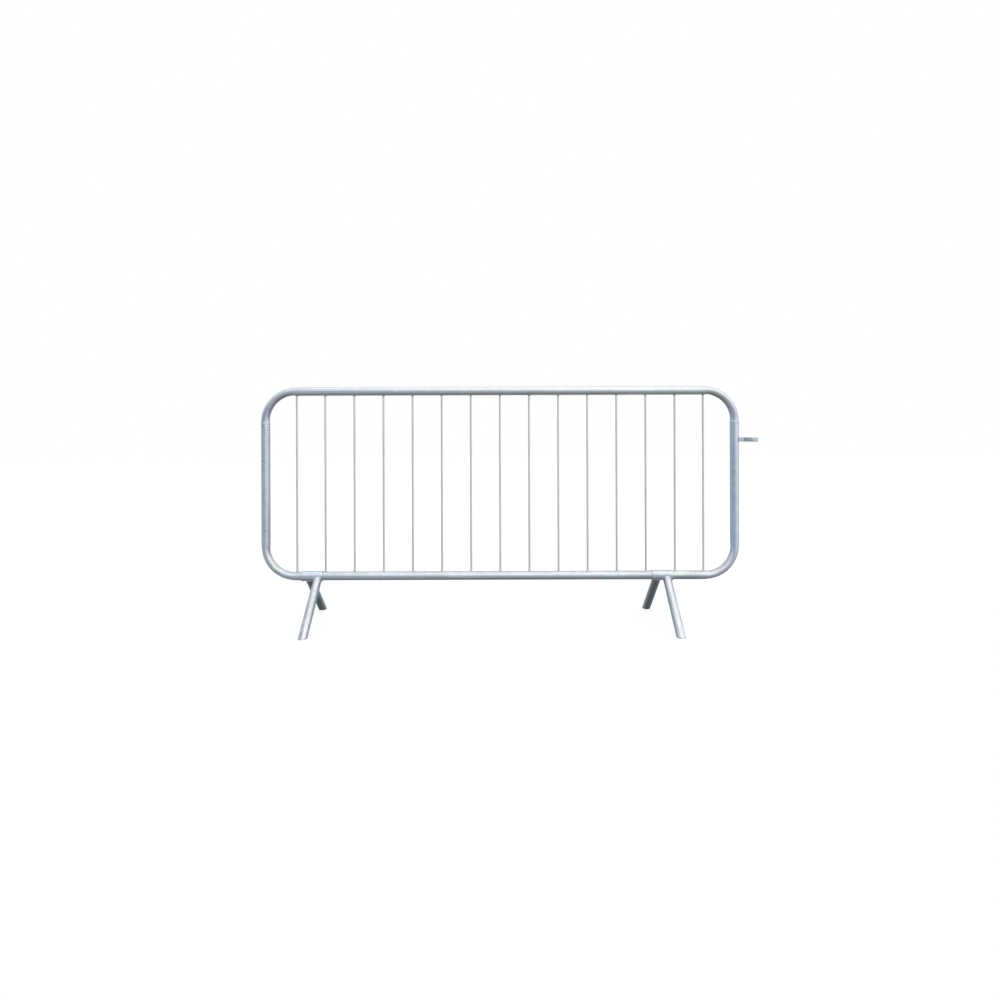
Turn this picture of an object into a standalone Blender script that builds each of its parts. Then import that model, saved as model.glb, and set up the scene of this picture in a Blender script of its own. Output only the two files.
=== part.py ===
"""Crowd control barrier: a bent galvanised tube frame with round-bar infill, fixed splayed legs welded to
collars on the bottom rail, and a coupling hook that takes the next barrier's upright.

Metres, +Z up. X runs along the barrier, -Y is the front. The origin is on the floor, at the centre of
the overall box.
"""

from math import atan2, cos, hypot, pi, radians, sin, sqrt

import bmesh
import bpy
from mathutils import Vector

# Overall sizes
FRAME_LENGTH = 2.212  # over the uprights
HOOK_REACH = 0.087  # the hook beyond the right upright
OVERALL_HEIGHT = 1.090
UNDERSIDE = 0.195  # clear height below the bottom rail

# Clearances
GAP = 0.0003  # between neighbouring pieces
WELD_DISTANCE = 0.000001  # joins a curve's caps to its sides
CUTTER_SIDES = 48

# Frame tube
FRAME_RADIUS = 0.0200
FRAME_WALL = 0.0015
BEND_RADIUS = 0.138  # of the tube's centre line
BEND_STEPS = 10
TUBE_SIDES = 24
JOINT_HEIGHT = 0.922  # butt joints between the two bent tubes

# Infill bars
BAR_COUNT = 15
BAR_PITCH = 0.1349
END_BAR_PITCH = 0.1315  # from an end bar to its neighbour
BAR_RADIUS = 0.0045
BAR_SIDES = 12
FILLET_LEG = 0.0035  # of the weld round each bar's ends

# Leg collars, as places along X from the middle of the frame
COLLAR_LENGTH = 0.096
COLLAR_RADIUS = 0.02295
COLLAR_WALL = 0.0026
COLLAR_PLACES = {"left": -0.870, "right": 0.749}

# Legs, side by side on each collar
LEG_RADIUS = 0.01905
LEG_WALL = 0.0020
LEG_START = 0.002  # from the rail's axis, before the leg is cut back to its collar
FOOT_SPREAD = 0.242  # from the rail's axis out to the middle of a foot
LEG_PLACES = {
    "front_left": -0.8435,
    "rear_left": -0.8895,
    "front_right": 0.769,
    "rear_right": 0.729,
}

# Coupling hook, a flat strip bent in plan
HOOK_HEIGHT = 0.842
HOOK_DEPTH = 0.020
HOOK_THICKNESS = 0.006
HOOK_INNER_RADIUS = 0.024
HOOK_NECK_RADIUS = 0.005  # inside of the bend between stem and ring
HOOK_TIP_ANGLE = radians(30)
HOOK_RING_STEPS = 20
HOOK_NECK_STEPS = 6

# Weld beads
SEAM_WIDTH = 0.008
SEAM_CROWN = 0.0011
TACK_RADIUS = 0.0035
TACK_HALF_ANGLE = radians(28)  # either side of straight down
TACK_STEPS = 6
LEG_BEAD_RADIUS = 0.0035
LEG_BEAD_POINTS = 24
LEG_BEAD_SIDES = 8
HOOK_BEAD = 0.0040
HOOK_BEAD_LIP = 0.0005

# Derived places
BOX_LENGTH = SEAM_CROWN + FRAME_LENGTH + HOOK_REACH
LEFT_X = -BOX_LENGTH / 2 + SEAM_CROWN + FRAME_RADIUS
RIGHT_X = LEFT_X + FRAME_LENGTH - 2 * FRAME_RADIUS
MIDDLE_X = (LEFT_X + RIGHT_X) / 2
TOP_Z = OVERALL_HEIGHT - FRAME_RADIUS
BOTTOM_Z = UNDERSIDE + FRAME_RADIUS
RING_CENTRE_X = FRAME_RADIUS + HOOK_REACH - HOOK_INNER_RADIUS - HOOK_THICKNESS


# Scene and materials


def clear_scene():
    for obj in list(bpy.data.objects):
        bpy.data.objects.remove(obj, do_unlink=True)


def new_collection(name):
    collection = bpy.data.collections.new(name)
    bpy.context.scene.collection.children.link(collection)
    return collection


def metal(name, colour, roughness):
    material = bpy.data.materials.new(name)
    material.use_nodes = True
    shader = material.node_tree.nodes["Principled BSDF"]
    shader.inputs["Base Color"].default_value = (*colour, 1.0)
    shader.inputs["Metallic"].default_value = 1.0
    shader.inputs["Roughness"].default_value = roughness
    return material


def add_part(name, data, material, collection):
    obj = bpy.data.objects.new(name, data)
    collection.objects.link(obj)
    if not data.materials:
        data.materials.append(material)
    return obj


def mesh_of(obj, name):
    """The object's evaluated shape as a mesh of its own, its caps joined on; the object is removed."""
    bpy.context.view_layer.update()
    graph = bpy.context.evaluated_depsgraph_get()
    mesh = bpy.data.meshes.new_from_object(obj.evaluated_get(graph))
    mesh.name = name
    bpy.data.objects.remove(obj, do_unlink=True)
    shape = bmesh.new()
    shape.from_mesh(mesh)
    bmesh.ops.remove_doubles(shape, verts=shape.verts, dist=WELD_DISTANCE)
    shape.to_mesh(mesh)
    shape.free()
    return mesh


# Shapes


def arc(centre, radius, start, end, steps):
    """Points (a, b) on an arc, from the angle start to the angle end."""
    turns = [start + (end - start) * i / steps for i in range(steps + 1)]
    return [(centre[0] + radius * cos(t), centre[1] + radius * sin(t)) for t in turns]


def swept_curve(name, points, radius, sides, closed=False):
    curve = bpy.data.curves.new(name, "CURVE")
    curve.dimensions = "3D"
    spline = curve.splines.new("POLY")
    spline.points.add(len(points) - 1)
    for target, point in zip(spline.points, points):
        target.co = (*point, 1.0)
    spline.use_cyclic_u = closed
    curve.bevel_depth = radius
    curve.bevel_resolution = (sides - 4) // 2
    return curve


def add_wall(obj, thickness):
    wall = obj.modifiers.new("wall", "SOLIDIFY")
    wall.thickness = thickness
    wall.offset = -1.0
    wall.use_even_offset = True


def turned_mesh(name, profile, closed):
    """The half outline (radius, height) that a Screw modifier turns about Z, down its outer side."""
    mesh = bpy.data.meshes.new(name)
    edges = [(i, i + 1) for i in range(len(profile) - 1)]
    if closed:
        edges.append((len(profile) - 1, 0))
    mesh.from_pydata([(r, 0.0, z) for r, z in profile], edges, [])
    return mesh


def add_turning(obj, sides):
    screw = obj.modifiers.new("turn", "SCREW")
    screw.angle = 2 * pi
    screw.steps = sides
    screw.render_steps = sides
    screw.use_merge_vertices = True
    screw.merge_threshold = 0.00001


def add_cut(obj, cutter):
    cut = obj.modifiers.new("cut_by_" + cutter.name, "BOOLEAN")
    cut.operation = "DIFFERENCE"
    cut.object = cutter


def as_cutter(obj, name, cutters):
    obj.name = name
    for collection in list(obj.users_collection):
        collection.objects.unlink(obj)
    cutters.objects.link(obj)
    obj.hide_render = True
    obj.display_type = "WIRE"
    return obj


def cylinder_cutter(name, radius, start, end, cutters):
    """A solid cylinder between two points."""
    start, end = Vector(start), Vector(end)
    bpy.ops.mesh.primitive_cylinder_add(
        vertices=CUTTER_SIDES,
        radius=radius,
        depth=(end - start).length,
        location=(start + end) / 2,
        rotation=(end - start).to_track_quat("Z", "Y").to_euler(),
    )
    return as_cutter(bpy.context.object, name, cutters)


def along_rail_cutter(name, radius, place, half_length, cutters):
    """A solid cylinder round the bottom rail's axis, centred at a place along the frame."""
    ends = [(MIDDLE_X + place + sign * half_length, 0, BOTTOM_Z) for sign in (-1, 1)]
    return cylinder_cutter(name, radius, *ends, cutters)


def box_cutter(name, centre, size, cutters):
    bpy.ops.mesh.primitive_cube_add(size=1.0, location=centre, scale=size)
    return as_cutter(bpy.context.object, name, cutters)


# Frame


def bent_tube_points(end, bend_z, middle_turn):
    """One bent tube in the plane of the frame: its left end, two quarter bends and its right end.

    middle_turn is the angle that the first bend ends at and the second starts from.
    """
    left = arc((LEFT_X + BEND_RADIUS, bend_z), BEND_RADIUS, pi, middle_turn, BEND_STEPS)
    right = arc((RIGHT_X - BEND_RADIUS, bend_z), BEND_RADIUS, middle_turn, 2 * middle_turn - pi, BEND_STEPS)
    return [(LEFT_X, 0, end), *((x, 0, z) for x, z in left + right), (RIGHT_X, 0, end)]


def frame_routes():
    return {
        "top_frame": bent_tube_points(JOINT_HEIGHT + GAP / 2, TOP_Z - BEND_RADIUS, pi / 2),
        "bottom_frame": bent_tube_points(JOINT_HEIGHT - GAP / 2, BOTTOM_Z + BEND_RADIUS, 1.5 * pi),
    }


def make_frame(zinc, parts):
    for name, points in frame_routes().items():
        curve = swept_curve(name + "_tube", points, FRAME_RADIUS, TUBE_SIDES)
        add_wall(add_part(name + "_tube", curve, zinc, parts), FRAME_WALL)


def frame_cutters(zinc, parts, cutters):
    """Solid bent bars, a gap larger than the frame's tubes, which the infill is cut back from."""
    made = []
    for name, points in frame_routes().items():
        curve = swept_curve(name + "_blank", points, FRAME_RADIUS + GAP, TUBE_SIDES)
        curve.use_fill_caps = True
        mesh = mesh_of(add_part(name + "_blank", curve, zinc, parts), name + "_cutter")
        made.append(as_cutter(bpy.data.objects.new(mesh.name, mesh), mesh.name, cutters))
    return made


def make_seam_welds(zinc, parts):
    """A low bead round each upright where the two bent tubes meet."""
    inner = FRAME_RADIUS + GAP
    edge = inner + GAP
    rise = FRAME_RADIUS + SEAM_CROWN - edge
    crown = [(edge + rise * sin(t), SEAM_WIDTH / 2 * cos(t)) for t in (pi * i / 4 for i in range(5))]
    profile = [*crown, (inner, -SEAM_WIDTH / 2), (inner, SEAM_WIDTH / 2)]
    mesh = turned_mesh("seam_weld", profile, closed=True)
    for side, x in (("left", LEFT_X), ("right", RIGHT_X)):
        weld = add_part(side + "_seam_weld", mesh, zinc, parts)
        weld.location = (x, 0, JOINT_HEIGHT)
        add_turning(weld, TUBE_SIDES)


# Infill


def bar_profile():
    """A round bar that widens into its weld at each rail and runs a little way into both of them."""
    upper_face = TOP_Z - FRAME_RADIUS
    lower_face = BOTTOM_Z + FRAME_RADIUS
    weld_radius = BAR_RADIUS + FILLET_LEG
    return [
        (0, upper_face + FILLET_LEG),
        (weld_radius, upper_face + FILLET_LEG),
        (weld_radius, upper_face),
        (BAR_RADIUS, upper_face - FILLET_LEG),
        (BAR_RADIUS, lower_face + FILLET_LEG),
        (weld_radius, lower_face),
        (weld_radius, lower_face - FILLET_LEG),
        (0, lower_face - FILLET_LEG),
    ]


def bar_places():
    """Where the bars stand along X; each end bar is a little closer to its neighbour."""
    inner = [MIDDLE_X + (i - (BAR_COUNT - 1) / 2) * BAR_PITCH for i in range(1, BAR_COUNT - 1)]
    return [inner[0] - END_BAR_PITCH, *inner, inner[-1] + END_BAR_PITCH]


def make_infill(zinc, parts, cutters):
    rails = frame_cutters(zinc, parts, cutters)
    mesh = turned_mesh("infill_bar", bar_profile(), closed=False)
    for number, x in enumerate(bar_places(), 1):
        bar = add_part(f"infill_bar_{number:02d}", mesh, zinc, parts)
        bar.location.x = x
        add_turning(bar, BAR_SIDES)
        for rail in rails:
            add_cut(bar, rail)


# Collars and legs


def make_collars(zinc, parts):
    half = COLLAR_LENGTH / 2
    curve = swept_curve("leg_collar", [(-half, 0, 0), (half, 0, 0)], COLLAR_RADIUS, TUBE_SIDES)
    for side, place in COLLAR_PLACES.items():
        collar = add_part(side + "_leg_collar", curve, zinc, parts)
        collar.location = (MIDDLE_X + place, 0, BOTTOM_Z)
        add_wall(collar, COLLAR_WALL)


def make_collar_tacks(zinc, parts, cutters):
    """A short bead under the rail, at the outer end of each collar."""
    half = COLLAR_LENGTH / 2
    down = -pi / 2
    route = arc((0, 0), COLLAR_RADIUS, down - TACK_HALF_ANGLE, down + TACK_HALF_ANGLE, TACK_STEPS)
    curve = swept_curve("tack_blank", [(0, y, z) for y, z in route], TACK_RADIUS, LEG_BEAD_SIDES)
    curve.use_fill_caps = True
    mesh = mesh_of(add_part("tack_blank", curve, zinc, parts), "collar_tack")
    rail_cutter = along_rail_cutter("rail_cutter", FRAME_RADIUS + GAP, 0, FRAME_LENGTH / 2, cutters)
    for side, place in COLLAR_PLACES.items():
        outward = half if place > 0 else -half
        collar_cutter = along_rail_cutter(
            side + "_collar_cutter", COLLAR_RADIUS + GAP, place, half + GAP, cutters
        )
        tack = add_part(side + "_collar_weld", mesh, zinc, parts)
        tack.location = (MIDDLE_X + place + outward, 0, BOTTOM_Z)
        add_cut(tack, rail_cutter)
        add_cut(tack, collar_cutter)


def leg_direction():
    """From the rail's axis down to the middle of a front foot."""
    return Vector((0, -FOOT_SPREAD, -BOTTOM_Z)).normalized()


def leg_tube_mesh(zinc, parts):
    """The hollow tube of a front leg, too long at both ends; its local origin is on the rail's axis."""
    direction = leg_direction()
    end = hypot(FOOT_SPREAD, BOTTOM_Z) + 2 * LEG_RADIUS
    curve = swept_curve("leg_blank", [direction * LEG_START, direction * end], LEG_RADIUS, TUBE_SIDES)
    blank = add_part("leg_blank", curve, zinc, parts)
    add_wall(blank, LEG_WALL)
    return mesh_of(blank, "leg_tube")


def leg_bead_mesh(zinc, parts):
    """A round bead along the line where a leg meets its collar."""
    direction = leg_direction()
    across = direction.cross(Vector((1, 0, 0)))
    points = []
    for i in range(LEG_BEAD_POINTS):
        turn = 2 * pi * i / LEG_BEAD_POINTS
        aside = LEG_RADIUS * sin(turn)
        along = sqrt(COLLAR_RADIUS**2 - aside**2)
        points.append(Vector((LEG_RADIUS * cos(turn), 0, 0)) + across * aside + direction * along)
    curve = swept_curve("bead_blank", points, LEG_BEAD_RADIUS, LEG_BEAD_SIDES, closed=True)
    return mesh_of(add_part("bead_blank", curve, zinc, parts), "leg_bead")


def make_legs(zinc, weld_zinc, parts, cutters):
    collar_cutter = along_rail_cutter("collars_cutter", COLLAR_RADIUS + GAP, 0, FRAME_LENGTH / 2, cutters)
    below_floor = (2 * FRAME_LENGTH, 4 * FOOT_SPREAD, UNDERSIDE)
    floor_cutter = box_cutter("floor_cutter", (0, 0, -UNDERSIDE / 2), below_floor, cutters)
    tube = leg_tube_mesh(zinc, parts)
    bead = leg_bead_mesh(weld_zinc, parts)
    for place, x in LEG_PLACES.items():
        turn = 0 if place.startswith("front") else pi
        origin = Vector((MIDDLE_X + x, 0, BOTTOM_Z))
        foot = origin + Vector((0, -FOOT_SPREAD * cos(turn), -BOTTOM_Z))
        leg_cutter = cylinder_cutter(place + "_leg_cutter", LEG_RADIUS + GAP, origin, foot, cutters)
        leg = add_part(place + "_leg", tube, zinc, parts)
        weld = add_part(place + "_leg_weld", bead, weld_zinc, parts)
        for obj in (leg, weld):
            obj.location = origin
            obj.rotation_euler.z = turn
            add_cut(obj, collar_cutter)
        add_cut(leg, floor_cutter)
        add_cut(weld, leg_cutter)


# Coupling hook


def hook_outline():
    """The bent strip in plan, from the upright's axis: stem, tight neck and ring, open to the rear."""
    half = HOOK_THICKNESS / 2
    neck = HOOK_NECK_RADIUS + half
    ring = HOOK_INNER_RADIUS + half
    neck_centre = (RING_CENTRE_X - sqrt((ring + neck) ** 2 - neck**2), -neck)
    ring_centre = (RING_CENTRE_X, 0.0)
    meet = atan2(neck, ring_centre[0] - neck_centre[0])
    root = FRAME_RADIUS + GAP
    root_x = sqrt(root**2 - half**2)
    rear_side = [
        (root_x, half),
        *arc(neck_centre, neck + half, pi / 2, meet, HOOK_NECK_STEPS),
        *hook_ring(ring_centre, ring - half, pi + meet)[1:],
    ]
    front_side = [
        (root_x, -half),
        *arc(neck_centre, neck - half, pi / 2, meet, HOOK_NECK_STEPS),
        *hook_ring(ring_centre, ring + half, pi + meet)[1:],
    ]
    return [(root, 0.0), *rear_side, *reversed(front_side)]


def hook_ring(centre, radius, start):
    """The ring's arc from its neck round the front to the tip, with a point exactly at its far end."""
    tip_steps = round(HOOK_RING_STEPS * HOOK_TIP_ANGLE / (2 * pi - start))
    front = arc(centre, radius, start, 2 * pi, HOOK_RING_STEPS)
    return front + arc(centre, radius, 0, HOOK_TIP_ANGLE, tip_steps)[1:]


def make_hook(zinc, parts):
    curve = bpy.data.curves.new("coupling_hook", "CURVE")
    curve.dimensions = "2D"
    curve.fill_mode = "BOTH"
    curve.extrude = HOOK_DEPTH / 2
    outline = hook_outline()
    spline = curve.splines.new("POLY")
    spline.points.add(len(outline) - 1)
    for target, (x, y) in zip(spline.points, outline):
        target.co = (x, y, 0.0, 1.0)
    spline.use_cyclic_u = True
    hook = add_part("coupling_hook", curve, zinc, parts)
    hook.location = (RIGHT_X, 0, HOOK_HEIGHT)


def hook_bead_mesh():
    """A block that narrows from the upright outwards, to be hollowed by the stem."""
    mesh = bpy.data.meshes.new("hook_weld")
    shape = bmesh.new()
    bmesh.ops.create_cube(shape, size=1.0)
    for vertex in shape.verts:
        outer = vertex.co.x > 0
        margin = 2 * (GAP + (HOOK_BEAD_LIP if outer else HOOK_BEAD))
        vertex.co.x = FRAME_RADIUS + (HOOK_BEAD if outer else -HOOK_BEAD / 2)
        vertex.co.y *= HOOK_THICKNESS + margin
        vertex.co.z *= HOOK_DEPTH + margin
    shape.to_mesh(mesh)
    shape.free()
    return mesh


def make_hook_weld(zinc, parts, cutters):
    """A fillet all round the stem of the hook, against the upright."""
    weld = add_part("hook_weld", hook_bead_mesh(), zinc, parts)
    weld.location = (RIGHT_X, 0, HOOK_HEIGHT)
    stem = (2 * FRAME_RADIUS, HOOK_THICKNESS + 2 * GAP, HOOK_DEPTH + 2 * GAP)
    ends = [(RIGHT_X, 0, HOOK_HEIGHT + sign * HOOK_DEPTH) for sign in (-1, 1)]
    add_cut(weld, box_cutter("hook_stem_cutter", (RIGHT_X + FRAME_RADIUS, 0, HOOK_HEIGHT), stem, cutters))
    add_cut(weld, cylinder_cutter("upright_cutter", FRAME_RADIUS + GAP, *ends, cutters))


def shade_round_pieces(parts):
    for obj in parts.objects:
        if obj.type == "MESH" and obj.data.polygons:
            obj.data.shade_smooth()


def main():
    clear_scene()
    parts = new_collection("crowd_control_barrier")
    cutters = new_collection("cutters")
    tube_zinc = metal("galvanised_tube", (0.60, 0.62, 0.65), 0.42)
    bar_zinc = metal("galvanised_bar", (0.55, 0.57, 0.58), 0.48)
    leg_zinc = metal("galvanised_leg", (0.68, 0.69, 0.72), 0.40)
    collar_zinc = metal("galvanised_collar", (0.62, 0.64, 0.66), 0.45)
    hook_zinc = metal("galvanised_strip", (0.52, 0.55, 0.58), 0.45)
    weld_zinc = metal("zinc_over_weld", (0.50, 0.51, 0.52), 0.60)
    make_frame(tube_zinc, parts)
    make_seam_welds(weld_zinc, parts)
    make_infill(bar_zinc, parts, cutters)
    make_collars(collar_zinc, parts)
    make_collar_tacks(weld_zinc, parts, cutters)
    make_legs(leg_zinc, weld_zinc, parts, cutters)
    make_hook(hook_zinc, parts)
    make_hook_weld(weld_zinc, parts, cutters)
    shade_round_pieces(parts)


main()
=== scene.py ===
"""Looks of the crowd control barrier: every welded piece as finished metal, hot-dip galvanised and used.

Metres, +Z up. X runs along the barrier, -Y is the front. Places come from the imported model's boxes.
"""

from functools import partial
from math import asin, atan2, cos, pi, radians, sin, sqrt
from random import Random
from types import SimpleNamespace

import bmesh
import bpy
import numpy as np
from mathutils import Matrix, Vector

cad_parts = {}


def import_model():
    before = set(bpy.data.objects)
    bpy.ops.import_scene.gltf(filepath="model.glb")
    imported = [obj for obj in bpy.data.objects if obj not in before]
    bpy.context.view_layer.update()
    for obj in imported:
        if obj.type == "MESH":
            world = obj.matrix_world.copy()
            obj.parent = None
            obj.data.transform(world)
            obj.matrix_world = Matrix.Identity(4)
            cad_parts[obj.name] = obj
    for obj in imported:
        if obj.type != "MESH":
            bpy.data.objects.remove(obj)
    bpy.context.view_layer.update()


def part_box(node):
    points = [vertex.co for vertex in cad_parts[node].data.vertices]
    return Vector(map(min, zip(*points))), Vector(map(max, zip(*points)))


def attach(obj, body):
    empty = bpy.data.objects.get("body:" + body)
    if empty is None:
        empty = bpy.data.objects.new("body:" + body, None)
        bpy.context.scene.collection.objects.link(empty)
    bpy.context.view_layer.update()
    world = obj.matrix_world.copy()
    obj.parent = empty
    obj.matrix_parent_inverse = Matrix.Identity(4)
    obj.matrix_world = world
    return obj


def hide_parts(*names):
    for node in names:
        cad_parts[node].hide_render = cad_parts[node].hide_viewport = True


# Sizes that the model's boxes don't give
BAR_COUNT = 15
BEND_RADIUS = 0.138  # of the frame tube's centre line
FRAME_WALL = 0.0015
BAR_RADIUS = 0.0045
COLLAR_WALL = 0.0026
LEG_WALL = 0.0020
FOOT_SPREAD = 0.242  # from the rail's axis out to the middle of a foot
HOOK_THICKNESS = 0.006
HOOK_INNER_RADIUS = 0.024
HOOK_NECK_RADIUS = 0.005  # inside of the bend between stem and ring
HOOK_TIP_ANGLE = radians(30)
HOOK_SAG = (0.0007, -0.0013)  # of its middle line, at the root and at the far side of the ring

# Welds; each BEAD is half a bead's width
SEAM_WIDTH = 0.008
BAR_FILLET = 0.0035
COLLAR_BEAD = 0.0035
COLLAR_BEAD_SINK = 0.0006  # of the bead's line below the collar's surface
LEG_BEAD = 0.0035
HOOK_BEAD = 0.0026
HOOK_BEAD_OUTSET = 0.0008  # of the bead's line beyond the hook's section
HOOK_BEAD_ROUNDING = 0.0024  # where that line turns the section's corners
RIPPLE_LENGTH = 0.0036  # between the ripples of a bead
EMBED = 0.0002  # how far a welded piece reaches into its neighbour

# How finely shapes are made
TUBE_SIDES = 72
BAR_SIDES = 24
BEAD_SIDES = 14
SEAM_POINTS = 288
COLLAR_BEAD_POINTS = 61
LEG_BEAD_POINTS = 360
HOOK_BEAD_POINTS = 180
BEND_STEPS = 36
STRAIGHT_STEP = 0.045  # longest stretch between two rings
COLLAR_STEP = 0.012
LEG_STEPS = 25
SHARP_ANGLE = radians(38)

# What bending, cutting and welding does to the metal
BEND_FLATTENING = (0.080, 0.125)  # of the tube's radius, on the outside and the inside of a bend
BEND_BULGE = 0.012  # of the tube's radius, across a bend
BEND_RUN_IN = 0.040  # over which a straight tube becomes an oval one
RUN_IN_STEP = 0.004
WRINKLE_HEIGHT = 0.00022
WRINKLE_LENGTH = 0.013
RIM_ROUNDING = 0.0004  # edges of cut tubes
STRIP_ROUNDING = 0.0011  # long edges of the hook
TIP_ROUNDING = 0.0010  # end of the hook
BAR_BOW = 0.0002  # most that an infill bar bows, at its middle

# Colours of the zinc on each kind of piece, and the tints of its patches
FRAME_ZINC = (0.75, 0.76, 0.77)
BAR_ZINC = (0.84, 0.785, 0.69)
COLLAR_ZINC = (0.76, 0.765, 0.78)
LEG_ZINC = (0.735, 0.73, 0.74)
HOOK_ZINC = (0.60, 0.63, 0.63)
SEAM_ZINC = (0.72, 0.73, 0.76)
WELD_ZINC = (0.68, 0.69, 0.70)
COOL_TINT = (0.93, 1.0, 1.07)
LILAC_TINT = (1.03, 1.0, 1.06)
GREEN_TINT = (0.95, 1.02, 1.0)

# How fine each pattern in the zinc is, as the scale of its noise, and how deep its relief is in metres
PATCHES, DRIFTS, SWATHES, CLOUDS = 11.0, 5.0, 8.0, 38.0
CRYSTALS, RUNS, FLECKS = 95.0, 70.0, 150.0
UNEVENNESS, UNEVENNESS_DEPTH = 46.0, 0.0007
GRAIN, GRAIN_DEPTH = 900.0, 0.00008
WELD_LUMPS, WELD_LUMP_DEPTH = 160.0, 0.0006
WELD_GRAIN, WELD_GRAIN_DEPTH = 1300.0, 0.00012
WELD_PITS = 430.0

# How runs are stretched along pieces: a smaller share makes them longer that way
ALONG_X = (0.12, 1.0, 1.0)
ALONG_Z = (1.0, 1.0, 0.1)
ALONG_LEGS = (1.0, 0.15, 0.15)

# Colours and places of marks, and of painted shade
# Painted shade for the undersides of the legs, where they face the floor
LEG_UNDERSIDE_SHADE = (0.245, 0.258, 0.25, 1.0)
RUB_STREAKS = (0.44, 0.42, 0.48, 1.0)
WORN_ZINC = (0.84, 0.85, 0.84, 1.0)
FLOOR_GRIME = (0.34, 0.34, 0.33, 1.0)
ZINC_PAINT = (0.80, 0.86, 0.80, 1.0)
BARE_SPOT = (0.93, 0.94, 0.97, 1.0)
DARK_SPOT = (0.42, 0.44, 0.47, 1.0)
LILAC_SPOT = (0.62, 0.55, 0.64, 1.0)
TOUCH_UP_PLACES = (0.742, 0.818)  # along X, over the right collar's outer end and beyond
# Painted shade in the creases where the collars end
CREASE_DEPTHS = (0.85, 0.65, 0.78, 0.85)  # share of the tone left at each collar end, from the left
SEAM_EDGE = 0.0055  # of the painted shade beside a seam weld, from the weld's middle

# Light by height, from straight down (0) to straight up (1), away from the key side and towards it
FILL_BY_HEIGHT = (
    (0.0, (0.14, 0.147, 0.157)),
    (0.12, (0.26, 0.275, 0.29)),
    (0.33, (0.345, 0.375, 0.40)),
    (0.45, (0.295, 0.355, 0.40)),
    (0.53, (0.31, 0.375, 0.42)),
    (0.62, (0.42, 0.46, 0.50)),
    (0.72, (0.56, 0.595, 0.63)),
    (0.90, (0.55, 0.58, 0.615)),
    (1.0, (0.52, 0.55, 0.58)),
)
KEY_BY_HEIGHT = (
    (0.0, (0.14, 0.147, 0.157)),
    (0.12, (0.285, 0.295, 0.305)),
    (0.33, (0.45, 0.465, 0.48)),
    (0.45, (0.58, 0.615, 0.645)),
    (0.53, (0.68, 0.725, 0.755)),
    (0.62, (0.80, 0.84, 0.88)),
    (0.72, (0.93, 0.965, 1.00)),
    (0.92, (0.955, 0.985, 1.015)),
    (1.0, (0.84, 0.87, 0.91)),
)
KEY_DIRECTION = (0.75, -0.45, 0.48)
KEY_EDGES = (0.2, 0.85)
LIGHT_STRENGTH = 1.32

# Floor
FLOOR_SIZE = 60.0
FLOOR_DROP = 0.0004  # below the feet
FLOOR_TONE = 0.22
FLOOR_GLOW = 0.82

# Camera
CAMERA_DISTANCE = 3.0
CAMERA_HEIGHT = 0.840
CAMERA_ROLL = radians(0.18)
SENSOR_WIDTH = 36.0
LENS = 23.296
VIEW_SHIFT = -0.0594  # of the view's width


def read_places():
    """The frame's radius, its centre lines' places and the height of its seams."""
    top_low, top_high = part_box("top_frame_tube")
    bottom_low, bottom_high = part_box("bottom_frame_tube")
    radius = top_high.y
    return SimpleNamespace(
        radius=radius,
        left=top_low.x + radius,
        right=top_high.x - radius,
        top=top_high.z - radius,
        bottom=bottom_low.z + radius,
        middle=(top_low.x + top_high.x) / 2,
        seam=(top_low.z + bottom_high.z) / 2,
    )


# Mesh building


def skin(name, rings, looped=False):
    """An object skinned over rings of points, an array (rings, around, 3).

    Looped joins the last ring to the first, as in a hollow tube; otherwise both ends are capped.
    """
    rings = np.asarray(rings, float)
    count, around = rings.shape[:2]
    index = np.arange(count * around).reshape(count, around)
    here = index if looped else index[:-1]
    ahead = np.roll(index, -1, axis=0)[: len(here)]
    quads = np.stack([here, np.roll(here, -1, axis=1), np.roll(ahead, -1, axis=1), ahead], axis=-1)
    faces = quads.reshape(-1, 4).tolist()
    if not looped:
        faces += [index[0].tolist(), index[-1].tolist()]
    mesh = bpy.data.meshes.new(name)
    mesh.from_pydata(rings.reshape(-1, 3).tolist(), [], faces)
    face_outwards(mesh)
    mesh.shade_smooth()
    mesh.set_sharp_from_angle(angle=SHARP_ANGLE)
    obj = bpy.data.objects.new(name, mesh)
    bpy.context.scene.collection.objects.link(obj)
    return obj


def face_outwards(mesh):
    shape = bmesh.new()
    shape.from_mesh(mesh)
    bmesh.ops.recalc_face_normals(shape, faces=shape.faces)
    shape.to_mesh(mesh)
    shape.free()


def finish_piece(obj, node, material):
    """Gives a piece its material and puts it in place of its CAD node."""
    obj.data.materials.append(material)
    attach(obj, "root")
    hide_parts(node)
    return obj


def circle(sides):
    return np.arange(sides) * 2 * pi / sides


def spaced(start, end, step):
    """Even places from start to end, no further apart than a step."""
    return np.linspace(start, end, max(2, int(np.ceil(abs(end - start) / step)) + 1))


def smooth_step(value):
    value = np.clip(value, 0.0, 1.0)
    return value * value * (3 - 2 * value)


def wobble(turn, seed, waves=(2, 3, 5, 8)):
    """A smooth, repeatable unevenness from -1 to 1 round a closed loop."""
    chance = Random(seed)
    return sum(np.cos(wave * turn + chance.uniform(0, 2 * pi)) for wave in waves) / len(waves)


def rounded_rim(radius, wall):
    """(radius, setback) from a tube's outer surface over its rounded end to its inner surface."""
    turns = np.linspace(0, pi / 2, 4)
    outer = [(radius - RIM_ROUNDING * (1 - cos(t)), RIM_ROUNDING * (1 - sin(t))) for t in turns]
    inner = [(radius - wall + RIM_ROUNDING * (1 - cos(t)), RIM_ROUNDING * (1 - sin(t))) for t in turns]
    return outer + inner[::-1]


def unit(vectors):
    return vectors / np.linalg.norm(vectors, axis=-1, keepdims=True)


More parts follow.
